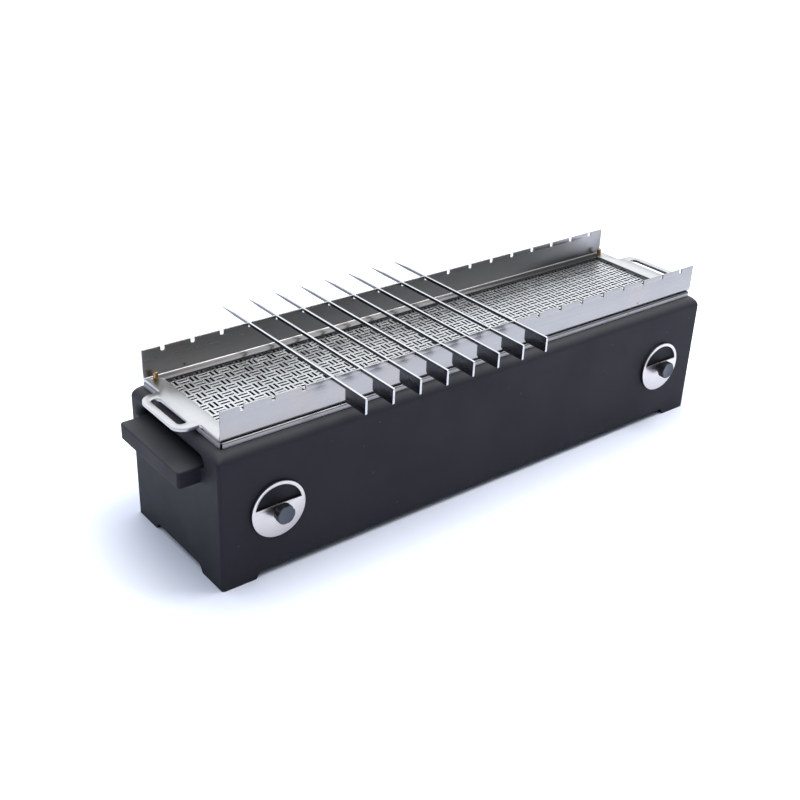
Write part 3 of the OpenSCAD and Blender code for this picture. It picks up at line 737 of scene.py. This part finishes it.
def dress(piece, material):
    piece.data.materials.clear()
    piece.data.materials.append(material)


def dress_nodes(material, *names):
    """Gives carried-over CAD nodes a finish through their own material slots."""
    for name in names:
        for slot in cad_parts[name].material_slots:
            slot.material = material


def hand_over(piece, material, body, slot, *nodes):
    """Dresses a piece, makes it stand for CAD nodes and lets it move with their body."""
    dress(piece, material)
    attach(piece, body)
    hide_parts(*nodes)


# Pieces


def wall_half():
    """Half length and half width of the trough without its ledges, and its height."""
    high = Vector(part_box("body")[1])
    return high.x - bpy.context.scene.grill_body.ledge_reach, high.y, high.z


def vent_axes():
    """Side and middle of each vent disc."""
    corners = {side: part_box(f"vent_disc_{side}") for side in ("left", "right")}
    return [(side, (Vector(low) + Vector(high)) / 2) for side, (low, high) in corners.items()]


def half_moon(centre, radius, chord, side, steps=40):
    """Half-moon seen from the front: above its straight edge with side 1, below it with side -1."""
    start = asin(chord / radius)
    angles = [side * (start + (pi - 2 * start) * k / steps) for k in range(steps + 1)]
    return [Vector((centre.x + side * radius * cos(a), centre.z + radius * sin(a))) for a in angles]


class GRILL_OT_body(Operator):
    """Builds the cast trough body with its shoulder, feet, ledges, finger hollows and vent holes"""

    bl_idname = "grill.body"
    bl_label = "Trough body"

    def rings(self, size, half_l, half_w, top):
        r = size.shoulder
        levels = [(0.0, 0.0), (0.0, top - r)]
        levels += [(r * (1 - cos(a)), top - r * (1 - sin(a))) for a in quarter(12, 1)]
        made = []
        for inset, height in levels:
            x, y = half_l - inset, half_w - inset
            loop = box_outline(-x, x, -y, y, size.corner + inset * size.ball)
            made.append([Vector((p.x, p.y, height)) for p in loop])
        return made

    def relief(self, name, size, half, span, plane):
        """Space between two feet, from below the table up to the underside."""
        under, height, lean = size.foot_under, size.foot_height, size.foot_lean
        low, high = half + lean / 4, half - lean
        r = size.foot_round
        points = outline((-low, -under, 0), (low, -under, 0), (high, height, r), (-high, height, r))
        return prism(name, points, -span, span, plane)

    def hollow(self, name, size, side, half_l):
        """Scoop whose mouth flares into a soft lip at its top and ends."""
        lip, deep = size.hollow_lip, size.hollow_depth - size.hollow_lip
        half = size.ledge_length / 2 + size.hollow_over
        low, high = size.ledge_top - size.hollow_low, size.ledge_top + size.hollow_height - lip
        levels = [(-2 * CLEAR, lip)]
        levels += [(lip * (1 - cos(a)), lip * (1 - sin(a))) for a in quarter(8)]
        levels += [(lip + deep * sin(a), -deep * (1 - cos(a))) for a in quarter(8, 1)]
        rings = []
        for inward, grow in levels:
            left, right = size.ledge_shift - half - grow, size.ledge_shift + half + grow
            under, over = size.hollow_foot, size.hollow_top + size.hollow_flare * grow
            top = high + grow
            loop = outline((left, low, under), (right, low, under), (right, top, over), (left, top, over))
            rings.append([Vector((side * (half_l - inward), p.x, p.y)) for p in loop])
        return loft(name, rings)

    def ledge(self, name, size, side, half_l):
        ends = sorted((side * (half_l - size.ledge_root), side * (half_l + size.ledge_reach)))
        middle, half = size.ledge_shift, size.ledge_length / 2
        loop = box_outline(*ends, middle - half, middle + half, size.ledge_corner)
        low, high = size.ledge_top - size.ledge_height, size.ledge_top
        return new_piece(name, sheet_mesh(loop, [], low, high, "XY", size.ledge_edge, steps=4))

    def execute(self, context):
        size = context.scene.grill_body
        vent = context.scene.grill_vent
        half_l, half_w, top = wall_half()
        inner_l, inner_w = half_l - size.wall_end, half_w - size.wall_side
        piece = loft("trough_body", self.rings(size, half_l, half_w, top))
        cavity = box_outline(-inner_l, inner_l, -inner_w, inner_w, size.cavity_round)
        cutters = [
            prism("cavity", cavity, size.floor, top + 2 * CLEAR, "XY"),
            self.relief("relief_long", size, half_l - size.foot_length, half_w + CLEAR, "XZ"),
            self.relief("relief_short", size, half_w - size.foot_width, half_l + CLEAR, "YZ"),
        ]
        for name, centre in vent_axes():
            moon = half_moon(centre, vent.hole, vent.chord, -1)
            cutters.append(prism("moon_" + name, moon, -half_w - CLEAR, -inner_w + CLEAR, "XZ"))
        cutters += [self.hollow(f"hollow_{side}", size, side, half_l) for side in (-1, 1)]
        carve(piece, cutters)
        carve(piece, [self.ledge(f"ledge_{side}", size, side, half_l) for side in (-1, 1)], "UNION")
        soften(piece, size.edge)
        hand_over(piece, cast_black(), "grill", "cast_black", "body")
        return {"FINISHED"}


def grate_box():
    """Half length and half width over the rails, the two faces of the sheet, and the loops' reach."""
    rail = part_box("back_rail")[1]
    low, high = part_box("end_plate_right")
    return rail[0], rail[1], low[2], high[2], high[0]


def edges_at(level):
    """Test for outline edges at a distance from the middle line; they stay square."""
    return lambda p, q: abs(abs(p.y) - level) < TOUCH and abs(abs(q.y) - level) < TOUCH


class GRILL_OT_grate(Operator):
    """Builds the flat frame with its loop handles, and the two notched and folded rails"""

    bl_idname = "grill.grate"
    bl_label = "Grate frame and rails"

    def frame_outline(self, size, half_l, seam, reach):
        w, r, root = size.loop_width / 2, size.loop_round, size.loop_root
        right = [(half_l, -seam, 0), (half_l, -w, root), (reach, -w, r)]
        right += [(reach, w, r), (half_l, w, root), (half_l, seam, 0)]
        return outline(*right, *[(-x, -y, radius) for x, y, radius in right])

    def openings(self, size, half_l, half_w, reach):
        """Window, finger slots and holes for the pins."""
        window_l, window_w = half_l - size.end_strip, half_w - size.side_strip
        holes = [box_outline(-window_l, window_l, -window_w, window_w, size.window_round)]
        for x in (-1, 1):
            middle = x * (reach - size.loop_bar - size.finger_width / 2)
            left, right = middle - size.finger_width / 2, middle + size.finger_width / 2
            half = size.finger_length / 2
            holes.append(box_outline(left, right, -half, half, size.finger_round))
            for y in (-1, 1):
                pin_x, pin_y = x * (half_l - size.pin_inset_x), y * (half_w - size.pin_inset_y)
                holes.append(ring_outline(pin_x, pin_y, size.pin_hole, 32))
        return holes

    def rail(self, name, side, size, half_l, half_w, low):
        """Bends a notched flat blank up by a right angle."""
        arc = size.fold * pi / 2
        start, end = size.foot, size.foot + arc
        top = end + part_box(name)[1][2] - low - size.fold
        w, floor = size.notch_width / 2, top - size.notch_depth
        edge, r = size.notch_edge, size.notch_round
        corners = [(-half_l, 0, 0), (half_l, 0, 0), (half_l, top, edge)]
        for k in reversed(range(size.notches)):
            x = (k - (size.notches - 1) / 2) * size.pitch
            corners += [(x + w, top, edge), (x + w, floor, r), (x - w, floor, r), (x - w, top, edge)]
        corners.append((-half_l, top, edge))
        bm = sheet_mesh(outline(*corners), [], 0.0, size.sheet, "XY", size.edge, square=edges_at(0.0))
        for level in [start + arc * k / FOLD_STEPS for k in range(FOLD_STEPS + 1)] + [end + size.thinning]:
            everything = bm.verts[:] + bm.edges[:] + bm.faces[:]
            bmesh.ops.bisect_plane(bm, geom=everything, plane_co=(0, level, 0), plane_no=(0, 1, 0))
        centre = half_w - size.fold
        for vert in bm.verts:
            x, s, depth = vert.co
            depth *= 1 - (1 - size.upright / size.sheet) * max(0.0, min(1.0, (s - end) / size.thinning))
            if s <= start:
                y, z = centre - start + s, depth
            elif s <= end:
                a = (s - start) / arc * pi / 2
                y, z = centre + (size.fold - depth) * sin(a), size.fold - (size.fold - depth) * cos(a)
            else:
                y, z = half_w - depth, size.fold + s - end
            vert.co = (x, side * y, low + z)
        return new_piece(name + "_sheet", bm)

    def execute(self, context):
        size = context.scene.grill_grate
        finish = context.scene.grill_finish
        half_l, half_w, low, high, reach = grate_box()
        seam = half_w - size.fold - size.foot
        holes = self.openings(size, half_l, half_w, reach)
        loop = self.frame_outline(size, half_l, seam, reach)
        bm = sheet_mesh(loop, holes, low, high, "XY", size.edge, square=edges_at(seam))
        plate = new_piece("frame_plate", bm)
        steel = brushed_steel("grate_steel", finish.steel, rough=(0.30, 0.38), tint=0.03, rust=0.004)
        nodes = "end_plate_left", "end_plate_right", "side_strip_front", "side_strip_back"
        hand_over(plate, steel, "grate", "grate_steel", *nodes)
        look = {"rough": (0.27, 0.31), "tint": 0.2, "rust": 0.012, "lines": 0.002}
        smooth = brushed_steel("rail_steel", finish.rail, **look)
        # Painted shade: the frame beside the rails gets a dark copy of the steel, standing in for the shaded
        # slope down from the rails' folds
        look = {"rough": (0.15, 0.18), "tint": 0.06, "rust": 0.02, "lines": 0.002}
        plate.data.materials.append(brushed_steel("strip_steel", finish.strip, **look))
        for polygon in plate.data.polygons:
            x, y = abs(polygon.center.x), abs(polygon.center.y)
            beside = x < half_l - size.end_strip and y > half_w - size.side_strip
            polygon.material_index = 1 if beside else 0
        for name, side in (("front_rail", -1), ("back_rail", 1)):
            rail = self.rail(name, side, size, half_l, half_w, low)
            hand_over(rail, smooth, "grate", "grate_steel", name)
        return {"FINISHED"}


class GRILL_OT_weave(Operator):
    """Builds the sheet below the frame, punched with a basket weave of slot pairs"""

    bl_idname = "grill.weave"
    bl_label = "Woven sheet"

    def slots(self, size, half_x, half_y):
        """Pairs of slots that turn by a right angle from cell to cell."""
        step = size.slot_width + size.web
        long, short = size.slot_length / 2, size.slot_width / 2
        columns, rows = ceil(half_x / size.cell_x) + 1, ceil(half_y / size.cell_y) + 1
        made = []
        for i in range(-columns, columns + 1):
            for j in range(-rows, rows + 1):
                for s in (-0.5, 0.5):
                    along = (i + j) % 2 == 0
                    u = size.shift_x + i * size.cell_x + (0 if along else s * step)
                    v = size.shift_y + j * size.cell_y + (s * step if along else 0)
                    du, dv = (long, short) if along else (short, long)
                    u0, u1 = max(u - du, -half_x), min(u + du, half_x)
                    v0, v1 = max(v - dv, -half_y), min(v + dv, half_y)
                    if u1 - u0 > size.least and v1 - v0 > size.least:
                        made.append(box_outline(u0, u1, v0, v1))
        return made

    def execute(self, context):
        size = context.scene.grill_weave
        finish = context.scene.grill_finish
        low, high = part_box("woven_sheet")
        hidden = size.lap - size.hidden
        holes = self.slots(size, high[0] - hidden, high[1] - hidden)
        sheet = box_outline(low[0], high[0], low[1], high[1])
        bm = sheet_mesh(sheet, holes, low[2], high[2], "XY", size.edge, steps=1)
        piece = new_piece("weave_sheet", bm, smooth_angle=30)
        look = {"rough": (0.30, 0.40), "tint": 0.04, "rust": 0.004, "cuts": 0.9}
        steel = brushed_steel("weave_steel", finish.weave, **look)
        hand_over(piece, steel, "grate", "grate_steel", "woven_sheet")
        return {"FINISHED"}


class GRILL_OT_skewers(Operator):
    """Builds the flat skewers, each with its handle plate and ground point"""

    bl_idname = "grill.skewers"
    bl_label = "Skewers"

    def blade(self, node, size):
        """Flat bar on edge, thinned towards its point."""
        low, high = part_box(node)
        front, back = low[1], high[1]
        under, bar, top = low[2], high[2] - size.bar, high[2]
        inner, shoulder = front + size.plate, back - size.point
        side_view = outline(
            (front, under, size.plate_front),
            (inner - size.cut, under, size.plate_cut),
            (inner, under + size.cut, size.plate_cut),
            (inner, bar, size.plate_inner),
            (shoulder, bar, 0),
            (back, bar + size.tip_low, 0),
            (back, bar + size.tip_high, 0),
            (shoulder, top, 0),
            (front, top, size.plate_top),
        )
        bm = sheet_mesh(side_view, [], low[0], high[0], "YZ", size.edge)
        middle = (low[0] + high[0]) / 2
        for vert in bm.verts:
            share = max(0.0, (vert.co.y - shoulder) / size.point)
            vert.co.x = middle + (vert.co.x - middle) * (1 - size.taper * share)
        return new_piece(f"{node}_blade", bm)

    def execute(self, context):
        size = context.scene.grill_skewer
        finish = context.scene.grill_finish
        # Their flat sides carry the painted dark reflection
        steel = brushed_steel("skewer_steel", finish.skewer, ACROSS, rough=(0.24, 0.42), tint=0.03, side_reflection_share=0.9)
        for number in SKEWERS:
            node = f"skewer_{number}"
            hand_over(self.blade(node, size), steel, node, "skewer_steel", node)
        return {"FINISHED"}


class GRILL_OT_vents(Operator):
    """Builds the two vent discs and their lobed knobs"""

    bl_idname = "grill.vents"
    bl_label = "Air vents"

    def disc(self, name, size, centre, radius, front, back):
        moon = half_moon(centre, radius - size.ring, size.chord, 1)
        holes = [moon, ring_outline(centre.x, centre.z, size.bore, 24)]
        rim = ring_outline(centre.x, centre.z, radius, 128)
        return new_piece(name, sheet_mesh(rim, holes, front, back, "XZ", size.edge))

    def profile(self, size, radius, total):
        """Neck, rounded back edge, side, rounded front edge and dished face, as (along, radius) pairs."""
        neck, end, e = size.neck_radius, size.neck, size.face
        made = [(0.0, neck - size.neck_edge), (size.neck_edge, neck)]
        made += [(end - size.neck_rise, neck), (end, neck + size.neck_flare)]
        made += [(end + e * (1 - cos(a)), radius - e * (1 - sin(a))) for a in quarter(5)]
        made += [(total - e * (1 - sin(a)), radius - e * (1 - cos(a))) for a in quarter(6)]
        flat = radius - e - size.face_flat
        return made + [(total, flat), (total - size.face_dish, flat - size.face_slope)]

    def knob(self, name, size, centre, radius, back, total):
        """Neck and lobed head, whose hollows run out before the round face."""
        reach = radius + size.flute - size.dip
        turn = 2 * pi / size.lobes

        def radius_at(value, angle):
            off = (angle + turn / 2 + pi / 2) % turn - turn / 2
            if abs(reach * sin(off)) >= size.flute:
                return value
            return min(value, reach * cos(off) - sqrt(size.flute**2 - (reach * sin(off)) ** 2))

        def place(u, v, along):
            return Vector((centre.x + u, back - along, centre.z + v))

        return lathe(name, place, self.profile(size, radius, total), 144, radius_at)

    def execute(self, context):
        size = context.scene.grill_vent
        finish = context.scene.grill_finish
        steel = brushed_steel("disc_steel", finish.disc, rough=(0.28, 0.42))
        plastic = moulded_plastic("knob_black", finish.knob)
        face = moulded_plastic("knob_face", finish.knob_face)
        for side, centre in vent_axes():
            low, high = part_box(f"vent_disc_{side}")
            disc = self.disc(f"disc_{side}", size, centre, (high[0] - low[0]) / 2, low[1], high[1])
            hand_over(disc, steel, f"vent_{side}", "disc_steel", f"vent_disc_{side}")
            low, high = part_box(f"vent_knob_{side}")
            knob = self.knob(f"knob_{side}", size, centre, (high[2] - low[2]) / 2, high[1], high[1] - low[1])
            hand_over(knob, plastic, f"vent_{side}", "knob_black", f"vent_knob_{side}")
            # Painted reflection: the faces get the lighter copy of the same plastic
            knob.data.materials.append(face)
            for polygon in knob.data.polygons:
                polygon.material_index = 1 if polygon.center.y < low[1] + 2 * size.face_dish else 0
        return {"FINISHED"}


class GRILL_OT_metalwork(Operator):
    """Finishes the rim, pins, liner, charcoal grid, ash tray and hardware"""

    bl_idname = "grill.metalwork"
    bl_label = "Rim, pins and inner parts"

    def pin(self, number):
        """Brass pin with a chamfered foot and a dome of (below the top, inset) steps in millimetres."""
        low, high = (Vector(c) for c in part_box(f"pin_{number}"))
        centre, radius, total = (low + high) / 2, (high.x - low.x) / 2, high.z - low.z
        chamfer = 0.3 * MM
        dome = ((0.9, 0.0), (0.6, 0.1), (0.2, 0.5), (0.0, 1.0))
        profile = [(0.0, radius - chamfer), (chamfer, radius)]
        profile += [(total - below * MM, radius - inset * MM) for below, inset in dome]

        def place(u, v, along):
            return Vector((centre.x + u, centre.y + v, low.z + along))

        return lathe(f"brass_pin_{number}", place, profile)

    def execute(self, context):
        finish = context.scene.grill_finish
        brass = turned_brass()
        for number in PINS:
            hand_over(self.pin(number), brass, "grill", "pin_brass", f"pin_{number}")
        dress_nodes(brushed_steel("rim_steel", finish.rim, rough=(0.26, 0.42), tint=0.03, rust=0.006), "rim")
        dress_nodes(sooty_metal("liner_steel", finish.liner, 0.75, 0.5), "fire_liner")
        dress_nodes(sooty_metal("grid_iron", finish.grid, 0.85, 0.6), "charcoal_grid")
        dress_nodes(sooty_metal("tray_steel", finish.tray, 0.85, 0.55), "ash_tray")
        names = [f"pin_nut_{number}" for number in PINS]
        names += [f"vent_{kind}_{side}" for kind in ("stud", "washer", "nut") for side in ("left", "right")]
        dress_nodes(brushed_steel("hardware_steel", finish.hardware, ROUND, rough=(0.3, 0.45)), *names)
        return {"FINISHED"}


# Stage


class GRILL_OT_stage(Operator):
    """Sets the floor, the surrounding light, the lamps and the camera"""

    bl_idname = "grill.stage"
    bl_label = "Stage"

    def floor(self, stage, finish):
        """Plain floor that keeps the grill's shadow and rises to white away from it, for the camera only; the
        rise starts at the grill's footprint, so the floor is painted darker near the grill beyond its real
        shadow.
        """
        bm = bmesh.new()
        bmesh.ops.create_grid(bm, x_segments=2, y_segments=2, size=stage.floor_size / 2)
        floor = new_piece("floor", bm)
        made, tree, shader = new_material("floor_white")
        fill(tree, shader, Base_Color=(*finish.floor, 1.0), Roughness=0.9, Specular_IOR_Level=0.1)
        path = add(tree, "ShaderNodeLightPath")
        seen = calc(tree, "MAXIMUM", path.outputs["Is Camera Ray"], path.outputs["Is Glossy Ray"])
        seen = calc(tree, "MAXIMUM", seen, path.outputs["Is Transmission Ray"])
        half_l, half_w, _ = wall_half()
        # Painted shade: the camera's white glow fades out towards the grill's footprint, darkening the floor
        # round the grill beyond its real shadow
        off = vector_math(tree, "ABSOLUTE", coordinate(tree)).outputs[0]
        off = vector_math(tree, "SUBTRACT", off, (half_l, half_w, 0.0)).outputs[0]
        off = vector_math(tree, "MAXIMUM", off).outputs[0]
        away = vector_math(tree, "LENGTH", off).outputs["Value"]
        lift = ramp(tree, away, 0.0, stage.lift_to, 0.0, stage.floor_lift)
        glow = add(tree, "ShaderNodeEmission", Color=WHITE, Strength=times(tree, seen, lift))
        both = add(tree, "ShaderNodeAddShader", n0=shader.outputs[0], n1=glow.outputs[0])
        fill(tree, tree.nodes["Material Output"], Surface=both.outputs[0])
        dress(floor, made)

    def world(self, scene):
        """Brightest half way up, even behind the grill, dark low down in front of it; white to the camera."""
        stage = scene.grill_stage
        world = bpy.data.worlds.new("studio")
        scene.world = world
        world.use_nodes = True
        tree = world.node_tree
        direction = add(tree, "ShaderNodeSeparateXYZ", Vector=coordinate(tree, "Generated")).outputs
        height = ramp(tree, direction["Z"], 0.0, 0.5, stage.sky, stage.zenith)
        height = times(tree, height, ramp(tree, direction["Z"], 0.6, 1.0, 1.0, stage.overhead))
        front = ramp(tree, direction["Y"], -0.55, 0.35, stage.shade, 1.0)
        end = ramp(tree, direction["X"], -0.9, 0.1, stage.end_shade, 1.0)
        shade = calc(tree, "MAXIMUM", times(tree, front, end), ramp(tree, direction["Z"], 0.5, 0.95))
        tone = mix(tree, ramp(tree, direction["X"], 0.1, -0.9), stage.sky_tone, stage.left_tone)
        lit = fill(tree, tree.nodes["Background"], Color=tone, Strength=times(tree, height, shade))
        white = add(tree, "ShaderNodeBackground", Color=WHITE, Strength=1.0)
        seen = add(tree, "ShaderNodeLightPath").outputs["Is Camera Ray"]
        both = add(tree, "ShaderNodeMixShader", n0=seen, n1=lit.outputs[0], n2=white.outputs[0])
        fill(tree, tree.nodes["World Output"], Surface=both.outputs[0])

    def lamp(self, stage, name):
        """Square lamp that faces the aim, from the stage's values with its name."""
        data = bpy.data.lights.new(name, "AREA")
        data.energy = getattr(stage, name)
        data.size = getattr(stage, name + "_size")
        data.color = getattr(stage, name + "_tone")
        lamp = bpy.data.objects.new(name, data)
        bpy.context.scene.collection.objects.link(lamp)
        lamp.location = getattr(stage, name + "_place")
        lamp.rotation_euler = (Vector(stage.aim) - lamp.location).to_track_quat("-Z", "Y").to_euler()

    def camera(self, scene):
        stage = scene.grill_stage
        data = bpy.data.cameras.new("camera")
        data.lens = stage.lens
        data.sensor_width = stage.sensor
        camera = bpy.data.objects.new("camera", data)
        scene.collection.objects.link(camera)
        forward = Vector(stage.camera_view).normalized()
        level = forward.cross(Vector(UP)).normalized()
        right = Matrix.Rotation(stage.roll, 3, forward) @ level
        turned = Matrix((right, right.cross(forward), -forward)).transposed()
        camera.matrix_world = Matrix.Translation(stage.camera_place) @ turned.to_4x4()
        scene.camera = camera

    def execute(self, context):
        scene = context.scene
        scene.view_settings.view_transform = "Standard"
        self.floor(scene.grill_stage, scene.grill_finish)
        self.world(scene)
        for name in ("key", "fill"):
            self.lamp(scene.grill_stage, name)
        self.camera(scene)
        return {"FINISHED"}


class GRILL_PT_panel(Panel):
    """Lists the grill's groups of pieces"""

    bl_label = "Tabletop grill"
    bl_idname = "GRILL_PT_panel"
    bl_space_type = "VIEW_3D"
    bl_region_type = "UI"
    bl_category = "Grill"

    def draw(self, context):
        for operator in OPERATORS:
            self.layout.operator(operator.bl_idname)


GROUPS = {
    "grill_body": GRILL_PG_body,
    "grill_grate": GRILL_PG_grate,
    "grill_weave": GRILL_PG_weave,
    "grill_skewer": GRILL_PG_skewer,
    "grill_vent": GRILL_PG_vent,
    "grill_finish": GRILL_PG_finish,
    "grill_stage": GRILL_PG_stage,
}
PIECES = GRILL_OT_body, GRILL_OT_grate, GRILL_OT_weave, GRILL_OT_skewers, GRILL_OT_vents, GRILL_OT_metalwork
OPERATORS = (*PIECES, GRILL_OT_stage)


def register():
    for cls in (*GROUPS.values(), *OPERATORS, GRILL_PT_panel):
        bpy.utils.register_class(cls)
    for name, cls in GROUPS.items():
        setattr(bpy.types.Scene, name, PointerProperty(type=cls))


def unregister():
    for name in GROUPS:
        delattr(bpy.types.Scene, name)
    for cls in reversed((*GROUPS.values(), *OPERATORS, GRILL_PT_panel)):
        bpy.utils.unregister_class(cls)


def main():
    register()
    for operator in OPERATORS:
        group, call = operator.bl_idname.split(".")
        getattr(getattr(bpy.ops, group), call)()


if __name__ == "__main__":
    main()
